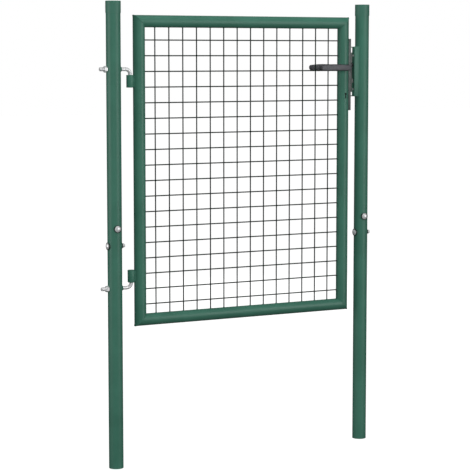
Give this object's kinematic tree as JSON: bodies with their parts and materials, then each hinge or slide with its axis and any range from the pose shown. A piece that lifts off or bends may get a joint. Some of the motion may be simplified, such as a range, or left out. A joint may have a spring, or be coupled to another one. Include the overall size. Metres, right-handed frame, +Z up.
{
  "type": "mesh gate with posts",
  "caption": "Gate leaf of welded wire mesh in a round tube frame, hung on threaded hook hinges between capped sectional posts, with a lever lock, a deadbolt and a keep that stops the leaf.",
  "frame": {"origin": "on the axis of the left (hinge) post, at the post's foot", "axes": "+X along the closed leaf from the hinge post to the latch post, +Y to the rear (the leaf opens towards -Y), +Z up the posts"},
  "size_m": [1.014, 0.085, 1.5012],
  "materials": {
    "green_coat": "moss green powder coat on zinc-plated tube, satin",
    "green_cap": "moss green moulded plastic",
    "green_wire": "dark green coat over zinc-plated wire",
    "dark_green_plastic": "dark green moulded plastic",
    "zinc": "bright zinc plating",
    "lock_grey": "grey zinc-nickel plated sheet, dull",
    "lever_grey": "dark grey cast lever, satin",
    "dark_steel": "dark oiled steel"
  },
  "bodies": {
    "posts": {"left_post_lower": "green_coat", "left_post_upper": "green_coat", "left_post_coupler": "zinc", "left_post_cap": "green_cap", "right_post_lower": "green_coat", "right_post_upper": "green_coat", "right_post_coupler": "zinc", "right_post_cap": "green_cap", "carriage_bolts": "zinc", "head_saddle_washers": "dark_green_plastic", "nut_saddle_washers": "dark_green_plastic", "carriage_nuts": "zinc", "upper_hinge_hook": "zinc", "lower_hinge_hook": "zinc", "hinge_bushes": "green_coat", "hinge_lock_nuts": "zinc", "keep_bracket": "green_coat", "strike_plate": "lock_grey", "strike_screws": "zinc"},
    "leaf": {"left_stile": "green_coat", "right_stile": "green_coat", "top_rail": "green_coat", "bottom_rail": "green_coat", "upright_wires": "green_wire", "level_wires": "green_wire", "upper_hinge_sleeve": "green_coat", "lower_hinge_sleeve": "green_coat", "lock_case": "lock_grey", "lock_cover": "lock_grey", "lock_case_screws": "zinc", "forend_plate": "lock_grey", "forend_screws": "zinc", "latch_spring": "zinc", "tumbler_spring": "zinc"},
    "handle": {"follower": "dark_steel", "spindle": "zinc", "front_lever": "lever_grey", "back_lever": "lever_grey", "lever_grub_screws": "dark_steel"},
    "latch": {"latch_bolt": "dark_steel"},
    "lock_bolt": {"deadbolt": "dark_steel"},
    "tumbler_plate": {"tumbler": "zinc"}
  },
  "joints": [
    {"name": "gate_swing", "type": "hinge", "parent": "posts", "child": "leaf", "pos_m": [0.0575, 0, 0.602], "axis": [0, 0, 1], "range_deg": [-110, 0]},
    {"name": "handle_turn", "type": "hinge", "parent": "leaf", "child": "handle", "pos_m": [0.854, 0, 1.289], "axis": [0, -1, 0], "range_deg": [0, 40], "stiffness_Nm_per_rad": 0.5, "springref_deg": -17.19},
    {"name": "latch_slide", "type": "slide", "parent": "leaf", "child": "latch", "axis": [-1, 0, 0], "range_m": [0, 0.0103], "deforming": ["latch_spring"]},
    {"name": "deadbolt_throw", "type": "slide", "parent": "leaf", "child": "lock_bolt", "axis": [1, 0, 0], "range_m": [0, 0.018]},
    {"name": "tumbler_lift", "type": "hinge", "parent": "leaf", "child": "tumbler_plate", "pos_m": [0.8455, 0.00175, 1.227], "axis": [0, -1, 0], "range_deg": [0, 6], "stiffness_Nm_per_rad": 0.02, "springref_deg": -11.46}
  ],
  "couplings": [
    {"joint": "latch_slide", "follows": "handle_turn", "m_per_rad": 0.01473}
  ]
}
